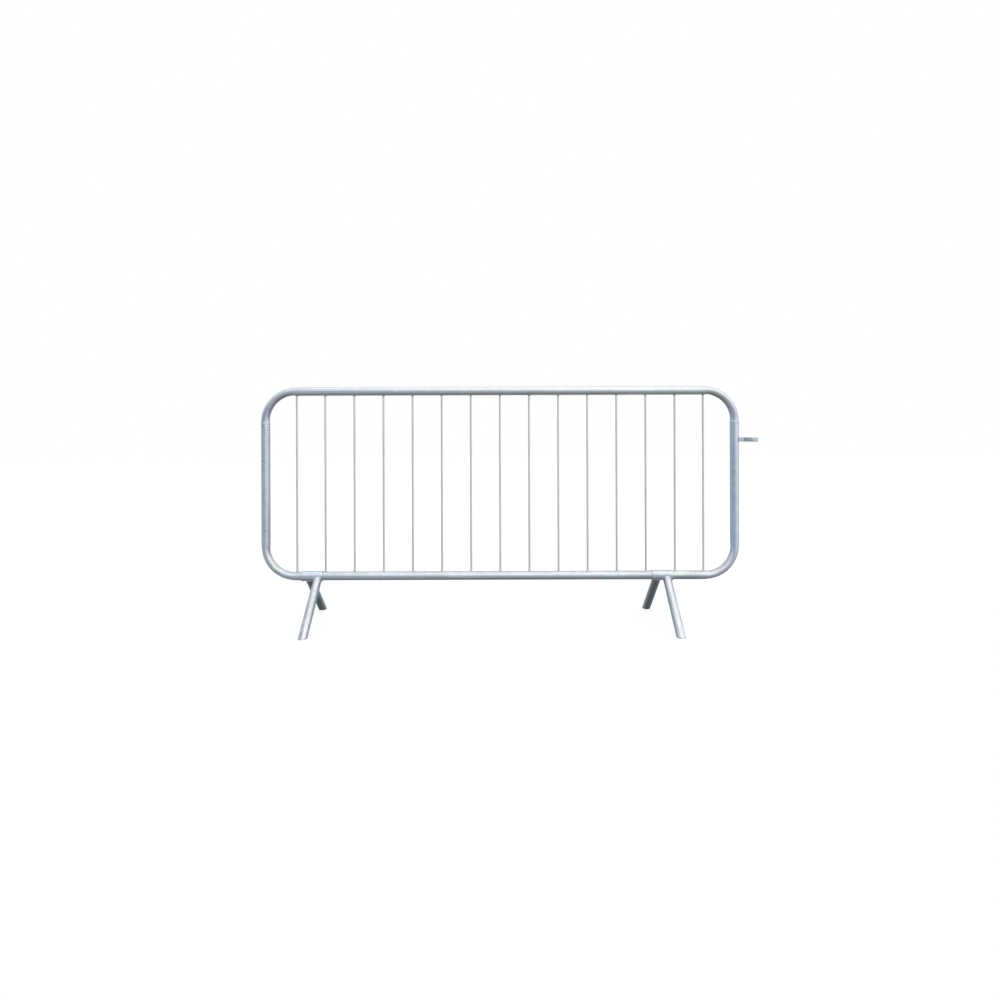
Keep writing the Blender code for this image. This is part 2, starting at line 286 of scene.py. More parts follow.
def bead(name, points, outward, widths, height_share, closed):
    """A weld bead along points: a flattened round section, as high as a share of its half width."""
    points = np.asarray(points, float)
    if closed:
        tangents = np.roll(points, -1, axis=0) - np.roll(points, 1, axis=0)
    else:
        tangents = np.gradient(points, axis=0)
    tangents = unit(tangents)
    outward = np.asarray(outward, float)
    outward = unit(outward - tangents * (outward * tangents).sum(axis=1, keepdims=True))
    sideways = np.cross(tangents, outward)
    turns = circle(BEAD_SIDES)
    widths = np.asarray(widths, float)[:, None, None]
    rings = (
        points[:, None, :]
        + widths * height_share * np.cos(turns)[None, :, None] * outward[:, None, :]
        + widths * np.sin(turns)[None, :, None] * sideways[:, None, :]
    )
    return skin(name, rings, looped=closed)


def ripple(lengths, seed, depth):
    """The scale of a bead along its length: overlapping ripples, none quite alike."""
    phase = lengths / RIPPLE_LENGTH * 2 * pi + Random(seed).uniform(0, 2 * pi)
    wander = 0.6 * np.sin(lengths / RIPPLE_LENGTH * 0.83 + seed)
    return 1 - depth * (0.5 - 0.5 * np.cos(phase + wander)) ** 0.7


# Frame tubes


def towards_bend(start, bend):
    """Places along straight tube, closer together over the run into a bend."""
    if abs(bend - start) <= BEND_RUN_IN:
        return spaced(start, bend, RUN_IN_STEP)
    near = bend - np.sign(bend - start) * BEND_RUN_IN
    return np.concatenate([spaced(start, near, STRAIGHT_STEP)[:-1], spaced(near, bend, RUN_IN_STEP)])


def bent_route(places, end_z, rail_z, side):
    """The places (x, z), outward directions and lengths along a bent tube, from its left end to its right.

    side is 1 for the top tube and -1 for the bottom one.
    """
    corner_z = rail_z - side * BEND_RADIUS
    corners = (places.left + BEND_RADIUS, places.right - BEND_RADIUS)
    spots, facings = [], []
    for z in towards_bend(end_z, corner_z)[:-1]:
        spots.append((places.left, z))
        facings.append(pi)
    for turn in np.linspace(pi, pi / 2, BEND_STEPS + 1):
        spots.append((corners[0] + BEND_RADIUS * cos(turn), corner_z + side * BEND_RADIUS * sin(turn)))
        facings.append(turn)
    rail = np.concatenate([towards_bend(places.middle, corner) for corner in corners])
    for x in np.unique(rail)[1:-1]:
        spots.append((x, rail_z))
        facings.append(pi / 2)
    for turn in np.linspace(pi / 2, 0, BEND_STEPS + 1):
        spots.append((corners[1] + BEND_RADIUS * cos(turn), corner_z + side * BEND_RADIUS * sin(turn)))
        facings.append(turn)
    for z in towards_bend(end_z, corner_z)[-2::-1]:
        spots.append((places.right, z))
        facings.append(0.0)
    spots, facings = np.array(spots), np.array(facings)
    outward = np.stack([np.cos(facings), side * np.sin(facings)], axis=1)
    lengths = np.concatenate([[0.0], np.cumsum(np.linalg.norm(np.diff(spots, axis=0), axis=1))])
    return spots, outward, lengths


def bend_share(lengths, upright, rail):
    """How far each ring is into a bend: 0 in straight tube, 1 in a bend."""
    arc = BEND_RADIUS * pi / 2
    share = np.zeros_like(lengths)
    for start in (upright, upright + arc + rail):
        rise = smooth_step((lengths - start) / BEND_RUN_IN + 0.4)
        fall = smooth_step((lengths - start - arc) / BEND_RUN_IN + 0.6)
        share += rise - fall
    return share


def frame_tube_rings(spots, outward, lengths, share, radius):
    """Rings round the tube, oval and slightly wrinkled where it is bent."""
    turns = circle(TUBE_SIDES)
    away, across = np.cos(turns)[None, :], np.sin(turns)[None, :]
    share = share[:, None]
    flattening = np.where(away > 0, *BEND_FLATTENING) * share
    wrinkle = np.sin(2 * pi * lengths / WRINKLE_LENGTH)[:, None] * np.clip(-away, 0, 1) ** 3
    in_plane = away * (radius * (1 - flattening) - WRINKLE_HEIGHT * wrinkle * share)
    out_of_plane = across * radius * (1 + BEND_BULGE * share)
    x = spots[:, 0:1] + outward[:, 0:1] * in_plane
    z = spots[:, 1:2] + outward[:, 1:2] * in_plane
    return np.stack([x, out_of_plane, z], axis=-1)


def make_frame_tube(places, side, material):
    name = "top_frame_tube" if side > 0 else "bottom_frame_tube"
    low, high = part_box(name)
    end_z, rail_z = (low.z, places.top) if side > 0 else (high.z, places.bottom)
    spots, outward, lengths = bent_route(places, end_z, rail_z, side)
    upright = abs(rail_z - end_z) - BEND_RADIUS
    rail = places.right - places.left - 2 * BEND_RADIUS
    share = bend_share(lengths, upright, rail)
    outer = frame_tube_rings(spots, outward, lengths, share, places.radius)
    inner = frame_tube_rings(spots, outward, lengths, share, places.radius - FRAME_WALL)
    obj = skin(name + "_metal", np.concatenate([outer, inner[::-1]]), looped=True)
    return finish_piece(obj, name, material)


def make_seam_weld(places, side, material):
    """A low rippled bead round an upright, where the two bent tubes meet."""
    node = side + "_seam_weld"
    low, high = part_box(node)
    crown = (high.x - low.x) / 2 - places.radius
    turns = circle(SEAM_POINTS)
    height = crown * ripple(turns * places.radius, len(side), 0.45) * (0.9 + 0.1 * wobble(turns, 11))
    half = SEAM_WIDTH / 2 * (0.88 + 0.12 * wobble(turns, 12))
    section = np.linspace(-pi / 2, pi / 2, 11)
    radial = places.radius - EMBED + (height[:, None] + EMBED) * np.cos(section)[None, :]
    drop = half[:, None] * np.sin(section)[None, :]
    radial = np.concatenate([radial, np.full((len(turns), 2), places.radius - 2 * EMBED)], axis=1)
    drop = np.concatenate([drop, half[:, None] * 0.5, half[:, None] * -0.5], axis=1)
    x = (low.x + high.x) / 2 + radial * np.cos(turns)[:, None]
    y = radial * np.sin(turns)[:, None]
    rings = np.stack([x, y, places.seam + drop], axis=-1)
    return finish_piece(skin(node + "_metal", rings, looped=True), node, material)


# Infill


def rail_face(places, x, y, side):
    """Height of the inner face of a rail above or below a point, in its straight and into its bends."""
    past = np.maximum(places.left + BEND_RADIUS - x, x - places.right + BEND_RADIUS)
    beyond = np.maximum(past, 0.0)
    drop = BEND_RADIUS - np.sqrt(BEND_RADIUS**2 - beyond**2)
    flattening = BEND_FLATTENING[1] * smooth_step(past / BEND_RUN_IN + 0.4)
    rail = places.top if side > 0 else places.bottom
    return rail - side * (drop + np.sqrt(places.radius**2 - y**2) * (1 - flattening))


def bar_end_rings(places, centre_x, side, seed):
    """Rings from inside a rail's wall over the weld round the bar's end to the plain bar."""
    turns = circle(BAR_SIDES)
    lumps = 1 + 0.30 * wobble(turns, seed, (1, 2, 3)) + 0.10 * wobble(turns, seed + 1, (5, 7))
    rings = []
    for reach in (-0.08, 0.0, 0.12, 0.28, 0.46, 0.66, 0.85, 1.0):
        flare = max(0.0, 1 - max(reach, 0.0)) ** 1.7
        radius = BAR_RADIUS + BAR_FILLET * lumps * flare
        x, y = centre_x + radius * np.cos(turns), radius * np.sin(turns)
        z = rail_face(places, x, y, side) - side * reach * BAR_FILLET * lumps
        rings.append(np.stack([x, y, z], axis=-1))
    return rings


def make_infill_bar(places, node, seed, material):
    low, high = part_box(node)
    centre_x = (low.x + high.x) / 2
    chance = Random(seed)
    bow = np.array([chance.uniform(-1, 1), chance.uniform(-1, 1)]) * BAR_BOW
    turns = circle(BAR_SIDES)
    top = bar_end_rings(places, centre_x, 1, 10 * seed)
    bottom = bar_end_rings(places, centre_x, -1, 10 * seed + 5)
    heights = spaced(top[-1][:, 2].min() - 0.004, bottom[-1][:, 2].max() + 0.004, STRAIGHT_STEP)
    middle = []
    for z in heights:
        share = sin(pi * (heights[0] - z) / (heights[0] - heights[-1]))
        x = centre_x + bow[0] * share + BAR_RADIUS * np.cos(turns)
        y = bow[1] * share + BAR_RADIUS * np.sin(turns)
        middle.append(np.stack([x, y, np.full(BAR_SIDES, z)], axis=-1))
    obj = skin(node + "_metal", top + middle + bottom[::-1])
    return finish_piece(obj, node, material)


# Collars and legs


def make_collar(places, side, material):
    """A short sleeve on the bottom rail, its edges rounded."""
    node = side + "_leg_collar"
    low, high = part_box(node)
    radius = (high.y - low.y) / 2
    rim = rounded_rim(radius, COLLAR_WALL)
    stations = [(r, low.x + setback) for r, setback in rim[::-1]]
    stations += [(radius, x) for x in spaced(low.x, high.x, COLLAR_STEP)[1:-1]]
    stations += [(r, high.x - setback) for r, setback in rim]
    turns = circle(TUBE_SIDES)
    rings = [
        np.stack([np.full(TUBE_SIDES, x), r * np.cos(turns), places.bottom + r * np.sin(turns)], axis=-1)
        for r, x in stations
    ]
    return finish_piece(skin(node + "_metal", rings, looped=True), node, material)


def make_collar_weld(places, side, collar_radius, material):
    """A short bead under the rail, at the outer end of a collar."""
    node = side + "_collar_weld"
    low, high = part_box(node)
    collar_low, collar_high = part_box(side + "_leg_collar")
    end_x = collar_low.x if side == "left" else collar_high.x
    half_angle = asin(high.y / collar_radius) * 0.97
    shares = np.linspace(-1, 1, COLLAR_BEAD_POINTS)
    turns = -pi / 2 + half_angle * shares
    outward = np.stack([np.zeros_like(turns), np.cos(turns), np.sin(turns)], axis=1)
    points = outward * (collar_radius - COLLAR_BEAD_SINK) + np.array([end_x, 0, places.bottom])
    scale = ripple(shares * half_angle * collar_radius, 5, 0.25) * (1 + 0.08 * wobble(turns * 3, 21))
    widths = COLLAR_BEAD * np.sqrt(np.clip(1 - shares**2, 0.02, 1)) * scale
    obj = bead(node + "_metal", points, outward, widths, 0.85, closed=False)
    return finish_piece(obj, node, material)


def leg_frame(places, name):
    """A leg's radius, where its axis meets the rail's, and unit directions down the leg and across it."""
    low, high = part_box(name + "_leg")
    radius = (high.x - low.x) / 2
    origin = np.array([(low.x + high.x) / 2, 0.0, places.bottom])
    sign = -1 if name.startswith("front") else 1
    down = np.array([0.0, sign * FOOT_SPREAD, -places.bottom])
    down /= np.linalg.norm(down)
    return radius, origin, down, np.cross(down, [1.0, 0.0, 0.0])


def leg_ring(origin, down, across, radius, turns, along):
    aside = radius * np.sin(turns)
    return (
        origin
        + radius * np.cos(turns)[:, None] * np.array([1.0, 0.0, 0.0])
        + aside[:, None] * across
        + along[:, None] * down
    )


def make_leg(places, name, collar_radius, material):
    """A hollow tube, its top shaped to the collar and its foot cut level with the floor."""
    node = name + "_leg"
    radius, origin, down, across = leg_frame(places, name)
    turns = circle(TUBE_SIDES)

    def ends(r):
        aside = r * np.sin(turns)
        top = np.sqrt(collar_radius**2 - aside**2)
        foot = (places.bottom + aside * across[2]) / -down[2]
        return top, foot

    def ring(r, share, setback=0.0):
        top, foot = ends(r)
        along = top + (foot - top) * share + setback
        return leg_ring(origin, down, across, r, turns, along)

    rim = rounded_rim(radius, LEG_WALL)
    shares = np.linspace(0, 1, LEG_STEPS + 1)[1:-1]
    outer = [ring(radius, share) for share in shares]
    inner = [ring(radius - LEG_WALL, share) for share in shares[::-1]]
    foot_rim = [ring(r, 1.0, -setback) for r, setback in rim]
    top_rim = [ring(r, 0.0, setback) for r, setback in rim[::-1]]
    obj = skin(node + "_metal", outer + foot_rim + inner + top_rim, looped=True)
    return finish_piece(obj, node, material)


def make_leg_weld(places, name, collar_radius, material):
    """A rippled bead along the line where a leg meets its collar."""
    node = name + "_leg_weld"
    radius, origin, down, across = leg_frame(places, name)
    turns = circle(LEG_BEAD_POINTS)
    aside = radius * np.sin(turns)
    along = np.sqrt(collar_radius**2 - aside**2)
    points = leg_ring(origin, down, across, radius, turns, along)
    from_leg = np.cos(turns)[:, None] * np.array([1.0, 0.0, 0.0]) + np.sin(turns)[:, None] * across
    from_collar = unit(aside[:, None] * across + along[:, None] * down)
    outward = unit(from_leg + from_collar)
    steps = np.linalg.norm(np.roll(points, -1, axis=0) - points, axis=1)
    lengths = np.concatenate([[0.0], np.cumsum(steps)[:-1]])
    seed = sum(map(ord, name)) % 97
    widths = LEG_BEAD * ripple(lengths, seed, 0.16) * (0.92 + 0.08 * wobble(turns, seed))
    obj = bead(node + "_metal", points, outward, widths, 0.9, closed=True)
    return finish_piece(obj, node, material)


# Coupling hook


def hook_route(places, ring_x):
    """Places and sideways directions along the middle of the bent strip, seen from above."""
    half = HOOK_THICKNESS / 2
    neck = HOOK_NECK_RADIUS + half
    ring = HOOK_INNER_RADIUS + half
    neck_x = ring_x - sqrt((ring + neck) ** 2 - neck**2)
    meet = atan2(neck, ring_x - neck_x)
    spots, sideways = [], []
    for x in np.linspace(places.right + places.radius - EMBED, neck_x, 6)[:-1]:
        spots.append((x, 0.0))
        sideways.append((0.0, 1.0))
    for turn in np.linspace(pi / 2, meet, 14):
        spots.append((neck_x + neck * cos(turn), -neck + neck * sin(turn)))
        sideways.append((cos(turn), sin(turn)))
    for turn in np.linspace(pi + meet, 2 * pi + HOOK_TIP_ANGLE, 84)[1:]:
        spots.append((ring_x + ring * cos(turn), ring * sin(turn)))
        sideways.append((-cos(turn), -sin(turn)))
    return np.array(spots), np.array(sideways)


def strip_section(half_thickness, half_depth, rounding):
    """Points round a flat strip's section with rounded edges: (sideways, up)."""
    points = []
    for quarter in range(4):
        middle = pi / 4 + quarter * pi / 2
        a = (half_thickness - rounding) * np.sign(cos(middle))
        b = (half_depth - rounding) * np.sign(sin(middle))
        for turn in np.linspace(middle - pi / 4, middle + pi / 4, 6):
            points.append((a + rounding * cos(turn), b + rounding * sin(turn)))
    return np.array(points)


def make_hook(places, material):
    low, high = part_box("coupling_hook")
    ring_x = high.x - HOOK_INNER_RADIUS - HOOK_THICKNESS
    middle_z, half_depth = (low.z + high.z) / 2, (high.z - low.z) / 2
    spots, sideways = hook_route(places, ring_x)
    rings = []

    def add_ring(spot, side, half_thickness, half_up):
        section = strip_section(half_thickness, half_up, STRIP_ROUNDING)
        flat = np.asarray(spot)[None, :] + section[:, :1] * np.asarray(side)[None, :]
        sag = np.interp(spot[0], (places.right + places.radius, high.x), HOOK_SAG)
        rings.append(np.column_stack([flat, middle_z + sag + section[:, 1]]))

    for spot, side in zip(spots, sideways):
        add_ring(spot, side, HOOK_THICKNESS / 2, half_depth)
    forward = unit(spots[-1] - spots[-2])
    for turn in np.linspace(0, pi / 2, 5)[1:]:
        inset = TIP_ROUNDING * (1 - cos(turn))
        tip = spots[-1] + forward * TIP_ROUNDING * sin(turn)
        add_ring(tip, sideways[-1], HOOK_THICKNESS / 2 - inset, half_depth - inset)
    root = rings[0]
    root[:, 0] = places.right + np.sqrt((places.radius - EMBED) ** 2 - root[:, 1] ** 2)
    obj = skin("coupling_hook_metal", rings)
    return finish_piece(obj, "coupling_hook", material)


def make_hook_weld(places, material):
    """A rippled bead all round the root of the hook, on the curved face of the upright."""
    low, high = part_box("coupling_hook")
    middle_z = (low.z + high.z) / 2
    half_width = HOOK_THICKNESS / 2 + HOOK_BEAD_OUTSET
    half_depth = (high.z - low.z) / 2 + HOOK_BEAD_OUTSET
    section = strip_section(half_width, half_depth, HOOK_BEAD_ROUNDING)
    corners = np.vstack([section, section[:1]])
    run = np.concatenate([[0.0], np.cumsum(np.linalg.norm(np.diff(corners, axis=0), axis=1))])
    lengths = np.linspace(0, run[-1], HOOK_BEAD_POINTS + 1)[:-1]
    y = np.interp(lengths, run, corners[:, 0])
    z = np.interp(lengths, run, corners[:, 1])
    x = np.sqrt(places.radius**2 - y**2)
    points = np.stack([places.right + x, y, middle_z + z], axis=1)
    away = np.stack([np.full_like(y, 0.003), y, z * 0.3], axis=1)
    turns = lengths / run[-1] * 2 * pi
    widths = HOOK_BEAD * ripple(lengths, 3, 0.18) * (0.92 + 0.08 * wobble(turns, 31))
    obj = bead("hook_weld_metal", points, unit(away), widths, 0.95, closed=True)
    return finish_piece(obj, "hook_weld", material)


# Materials


class Tree:
    """Adds nodes to a tree of nodes, joined to each other as they are made."""

    def __init__(self, tree):
        self.tree = tree

    def add(self, kind, inputs=None, **settings):
        made = self.tree.nodes.new("ShaderNode" + kind)
        for key, value in settings.items():
            setattr(made, key, value)
        for key, value in (inputs or {}).items():
            self.feed(made.inputs[key], value)
        return made

    def feed(self, socket, value):
        if isinstance(value, bpy.types.NodeSocket):
            self.tree.links.new(value, socket)
        else:
            socket.default_value = value


class Nodes(Tree):
    """The nodes of one material."""

    def __init__(self, material):
        material.use_nodes = True
        super().__init__(material.node_tree)
        self.shader = self.tree.nodes["Principled BSDF"]
        self.place = self.add("TexCoord").outputs["Object"]

    def finish(self, colour, roughness, normal):
        """Joins what varies over the surface to the shader."""
        self.feed(self.shader.inputs["Base Color"], colour)
        self.feed(self.shader.inputs["Roughness"], roughness)
        self.feed(self.shader.inputs["Normal"], normal)

    # Values that change from place to place

    def stretched(self, scale, shift=(0.0, 0.0, 0.0)):
        """The place, scaled differently along each axis."""
        return self.add("Mapping", {"Vector": self.place, "Location": shift, "Scale": scale}).outputs[0]

    def noise(self, scale, detail=3.0, roughness=0.55, where=None):
        inputs = {"Vector": where or self.place, "Scale": scale, "Detail": detail, "Roughness": roughness}
        return self.add("TexNoise", inputs).outputs["Fac"]

    def spangle(self, scale):
        """A random value in each crystal of the zinc, with edges that wander."""
        warp = self.add("TexNoise", {"Vector": self.place, "Scale": scale * 1.7, "Detail": 2.0})
        wander = {"Fac": 0.012, "Color1": self.place, "Color2": warp.outputs["Color"]}
        shifted = self.add("MixRGB", wander).outputs[0]
        cells = self.add("TexVoronoi", {"Vector": shifted, "Scale": scale, "Randomness": 0.95})
        return self.add("SeparateColor", {"Color": cells.outputs["Color"]}).outputs[0]

    def axis(self, name):
        return self.add("SeparateXYZ", {"Vector": self.place}).outputs[name]

    def facing(self, name):
        """One part of the direction that the surface faces."""
        return self.add("SeparateXYZ", {"Vector": self.add("NewGeometry").outputs["Normal"]}).outputs[name]

    def outward(self, middle):
        """How far the surface faces away from the middle of the barrier, along X."""
        half = self.math("SIGN", self.math("SUBTRACT", self.axis("X"), middle))
        return self.math("MULTIPLY", half, self.facing("X"))

    # Sums and masks

    def math(self, operation, a, b=0.0):
        return self.add("Math", {0: a, 1: b}, operation=operation).outputs[0]

    def product(self, first, *others):
        for other in others:
            first = self.math("MULTIPLY", first, other)
        return first

    def raised(self, value, mask, amount):
        """The value, higher by an amount where the mask is full."""
        return self.math("ADD", value, self.math("MULTIPLY", mask, amount))

    def ranged(self, value, low, high, to_low=0.0, to_high=1.0, smooth=False):
        inputs = {0: value, 1: low, 2: high, 3: to_low, 4: to_high}
        kind = "SMOOTHSTEP" if smooth else "LINEAR"
        return self.add("MapRange", inputs, interpolation_type=kind).outputs[0]

    def window(self, value, low, high, soft):
        """1 from low to high, falling smoothly to 0 outside."""
        rise = self.ranged(value, low - soft, low + soft, smooth=True)
        fall = self.ranged(value, high - soft, high + soft, 1.0, 0.0, smooth=True)
        return self.math("MULTIPLY", rise, fall)

    def spot(self, centre, radius, soft):
        """1 near a point, falling to 0 round it with a ragged edge."""
        away = self.add("VectorMath", {0: self.place, 1: centre}, operation="DISTANCE").outputs["Value"]
        ragged = self.ranged(self.noise(0.9 / radius, 3.0, 0.6), 0.3, 0.7, -0.4 * radius, 0.4 * radius)
        edge = self.math("ADD", away, ragged)
        return self.ranged(edge, radius - soft, radius + soft, 1.0, 0.0, smooth=True)

    # Colours and relief

    def mix(self, share, a, b, kind="MIX"):
        made = self.add("Mix", data_type="RGBA", blend_type=kind)
        for index, value in ((0, share), (6, a), (7, b)):
            self.feed(made.inputs[index], value)
        return made.outputs[2]

    def scaled(self, colour, value):
        """The colour, each part multiplied by a value."""
        return self.add("VectorMath", {0: colour, "Scale": value}, operation="SCALE").outputs[0]

    def tinted(self, colour, mask, tint):
        """The colour, multiplied by a tint where the mask is full."""
        return self.mix(mask, colour, self.mix(1.0, colour, (*tint, 1.0), "MULTIPLY"))

    def darkened(self, colour, mask, depth):
        """The colour, down to a share of itself where the mask is full."""
        return self.scaled(colour, self.ranged(mask, 0.0, 1.0, 1.0, depth))

    def bump(self, height, distance, strength=1.0, under=None):
        inputs = {"Height": height, "Distance": distance, "Strength": strength}
        if under is not None:
            inputs["Normal"] = under
        return self.add("Bump", inputs).outputs[0]


def grey(value):
    return (value, value, value, 1.0)


def galvanised(name, base, roughness, mottling=0.07, streak=(1.0, 1.0, 1.0), marks=None, grain=0.05):
    """Zinc that has weathered: patches of blue, lilac and green grey, faint crystals, runs and stains.

    streak stretches the runs along a piece, and marks(nodes, colour, dull) adds what one piece alone has.
    """
    material = bpy.data.materials.new(name)
    nodes = Nodes(material)
    cool, lilac, green = (
        (*(part * share for part, share in zip(base, tint)), 1.0)
        for tint in (COOL_TINT, LILAC_TINT, GREEN_TINT)
    )
    colour = nodes.mix(nodes.ranged(nodes.noise(PATCHES, 4.0), 0.32, 0.68), cool, lilac)
    drift = nodes.noise(DRIFTS, 3.0, where=nodes.stretched((1, 1, 1), (3.1, 1.7, 0.4)))
    colour = nodes.mix(nodes.ranged(drift, 0.5, 0.75), colour, green)

    cloud = nodes.noise(CLOUDS, 5.0, 0.6)
    wide = nodes.noise(SWATHES, 2.0, where=nodes.stretched((1, 1, 1), (1.3, 0.2, 2.4)))
    crystals = nodes.spangle(CRYSTALS)
    runs = nodes.noise(RUNS, 3.0, where=nodes.stretched(streak, (0.3, 0.9, 0.6)))
    flecks = nodes.noise(FLECKS, 2.0, 0.6)
    shade = nodes.product(
        nodes.ranged(cloud, 0.3, 0.7, 1 - mottling, 1 + 0.6 * mottling),
        nodes.ranged(wide, 0.3, 0.7, 0.94, 1.05),
        nodes.ranged(crystals, 0.0, 1.0, 1 - 0.15 * mottling, 1 + 0.15 * mottling),
        nodes.ranged(runs, 0.35, 0.7, 1 + 0.3 * mottling, 1 - 0.7 * mottling),
        nodes.ranged(flecks, 0.60, 0.74, 1.0, 1 - 1.3 * mottling, smooth=True),
    )
    colour = nodes.scaled(colour, shade)

    dull = nodes.ranged(cloud, 0.3, 0.72, roughness - 0.05, roughness + 0.08)
    dull = nodes.math("ADD", dull, nodes.ranged(crystals, 0.0, 1.0, -0.008, 0.008))
    if marks:
        colour, dull = marks(nodes, colour, dull)

    uneven = nodes.bump(nodes.noise(UNEVENNESS, 2.0), UNEVENNESS_DEPTH, 0.10)
    fine = nodes.bump(nodes.noise(GRAIN, 3.0, 0.6), GRAIN_DEPTH, grain, uneven)
    nodes.finish(colour, dull, fine)
    nodes.shader.inputs["Metallic"].default_value = 1.0
    return material


def weld_zinc(name, base):
    """Zinc over a rough weld: darker, duller, grainy."""
    material = bpy.data.materials.new(name)
    nodes = Nodes(material)
    lumps = nodes.noise(WELD_LUMPS, 4.0, 0.6)
    colour = nodes.scaled(base, nodes.ranged(lumps, 0.3, 0.7, 0.72, 1.18))
    pits = nodes.noise(WELD_PITS, 2.0)
    colour = nodes.scaled(colour, nodes.ranged(pits, 0.58, 0.70, 1.0, 0.65, smooth=True))
    coarse = nodes.bump(lumps, WELD_LUMP_DEPTH, 0.6)
    fine = nodes.bump(nodes.noise(WELD_GRAIN, 3.0), WELD_GRAIN_DEPTH, 0.6, coarse)
    nodes.finish(colour, nodes.ranged(lumps, 0.3, 0.7, 0.62, 0.46), fine)
    nodes.shader.inputs["Metallic"].default_value = 0.9
    return material


# Marks, painted shade and painted highlights that one kind of piece alone has


def leg_marks(places, nodes, colour, dull):
    """Legs: painted shade underneath and on the inner sides, rub streaks, scuffs, and wear towards the
    floor.
    """
    up, outward, height = nodes.facing("Z"), nodes.outward(places.middle), nodes.axis("Z")
    # Painted shade on the legs' undersides, broken up by a grainy pattern
    grains = nodes.ranged(nodes.noise(130.0, 5.0, 0.7), 0.35, 0.62, 0.72, 1.0)
    under = nodes.product(nodes.ranged(up, -0.10, -0.55, smooth=True), grains)
    colour = nodes.mix(under, colour, LEG_UNDERSIDE_SHADE)
    dull = nodes.raised(dull, under, 0.16)

    scratches = nodes.noise(120.0, 4.0, 0.6, where=nodes.stretched((1.0, 0.15, 0.15)))
    streaks = nodes.ranged(scratches, 0.50, 0.66, smooth=True)
    streaks = nodes.product(streaks, nodes.ranged(outward, 0.0, 0.6, 0.25, 1.0), 0.55)
    colour = nodes.mix(streaks, colour, RUB_STREAKS)
    # Painted shade on the legs' inner sides, which face the middle of the barrier
    colour = nodes.darkened(colour, nodes.ranged(outward, -0.5, -0.9, smooth=True), 0.75)

    ragged = nodes.ranged(nodes.noise(60.0, 4.0), 0.3, 0.7, -0.02, 0.02)
    worn = nodes.product(
        nodes.ranged(nodes.math("ADD", height, ragged), 0.005, 0.055, 0.7, 0.0, smooth=True),
        nodes.ranged(scratches, 0.35, 0.6, 1.0, 0.45),
        nodes.ranged(up, -0.3, 0.1, smooth=True),
    )
    colour = nodes.mix(worn, colour, WORN_ZINC)
    dull = nodes.raised(dull, worn, 0.10)

    chips = nodes.noise(95.0, 4.0, 0.6, where=nodes.stretched((1.0, 0.35, 0.35)))
    kicked = nodes.product(
        nodes.ranged(height, 0.15, 0.05),
        nodes.ranged(nodes.axis("X"), 0.0, -0.1),
        nodes.window(outward, -0.10, 0.60, 0.15),
        nodes.ranged(chips, 0.38, 0.62),
    )
    colour = nodes.tinted(colour, kicked, (0.60, 0.59, 0.65))
    grime = nodes.ranged(height, 0.0015, 0.006, 0.45, 0.0, smooth=True)
    return nodes.mix(grime, colour, FLOOR_GRIME), dull


def touch_up(places, nodes, colour, dull):
    """A brushed patch of pale zinc paint over the outer end of the right collar and the rail beside it."""
    start, end = TOUCH_UP_PLACES
    height = nodes.axis("Z")
    ragged = nodes.ranged(nodes.noise(55.0, 4.0, 0.6), 0.3, 0.7, -0.008, 0.008)
    slant = nodes.product(nodes.math("SUBTRACT", height, places.bottom), 1.3)
    along = nodes.math("SUBTRACT", nodes.math("ADD", nodes.axis("X"), ragged), slant)
    above = nodes.raised(height, ragged, 0.4)
    strokes = nodes.noise(140.0, 3.0, where=nodes.stretched((0.2, 1, 1)))
    patch = nodes.product(
        nodes.window(along, start, end - 0.015, 0.008),
        nodes.window(above, places.bottom, places.bottom + 0.05, 0.004),
        nodes.ranged(strokes, 0.3, 0.7, 0.35, 0.75),
    )
    return nodes.mix(patch, colour, ZINC_PAINT), nodes.raised(dull, patch, 0.2)


def bar_marks(places, nodes, colour, dull):
    """Bars: a little paler downwards, with dull grey weld metal and dirt at both ends."""
    height = nodes.axis("Z")
    low = nodes.ranged(height, places.top, places.bottom)
    colour = nodes.tinted(colour, low, (1.07, 1.06, 1.065))
    above = nodes.math("SUBTRACT", places.top - places.radius, height)
    below = nodes.math("SUBTRACT", height, places.bottom + places.radius)
    nearest = nodes.math("MINIMUM", above, below)
    ends = nodes.ranged(nearest, 0.0060, 0.0025, smooth=True)
    dirty = nodes.product(ends, nodes.ranged(low, 0.0, 1.0, 0.25, 0.75))
    return nodes.tinted(colour, dirty, (0.50, 0.53, 0.57)), nodes.raised(dull, ends, 0.12)


def collar_marks(places, nodes, colour, dull):
    """Collars: darker on top, painted shade underneath, and on the right one a band of painted shade
    across the front and the touched-up end.
    """
    up = nodes.facing("Z")
    right = nodes.ranged(nodes.axis("X"), places.middle - 0.1, places.middle + 0.1)
    left = nodes.math("SUBTRACT", 1.0, right)
    colour = nodes.darkened(colour, nodes.ranged(up, 0.80, 0.93, smooth=True), 0.92)
    # A band of painted shade across the right collar's front, below its top
    colour = nodes.darkened(colour, nodes.product(nodes.window(up, 0.02, 0.36, 0.08), right), 0.80)
    colour = nodes.tinted(colour, nodes.product(nodes.ranged(up, 0.2, 0.5), left), (1.0, 1.08, 1.10))
    # Painted shade on the collars' undersides
    colour = nodes.darkened(colour, nodes.ranged(up, -0.35, -0.75, smooth=True), 0.84)
    return touch_up(places, nodes, colour, dull)


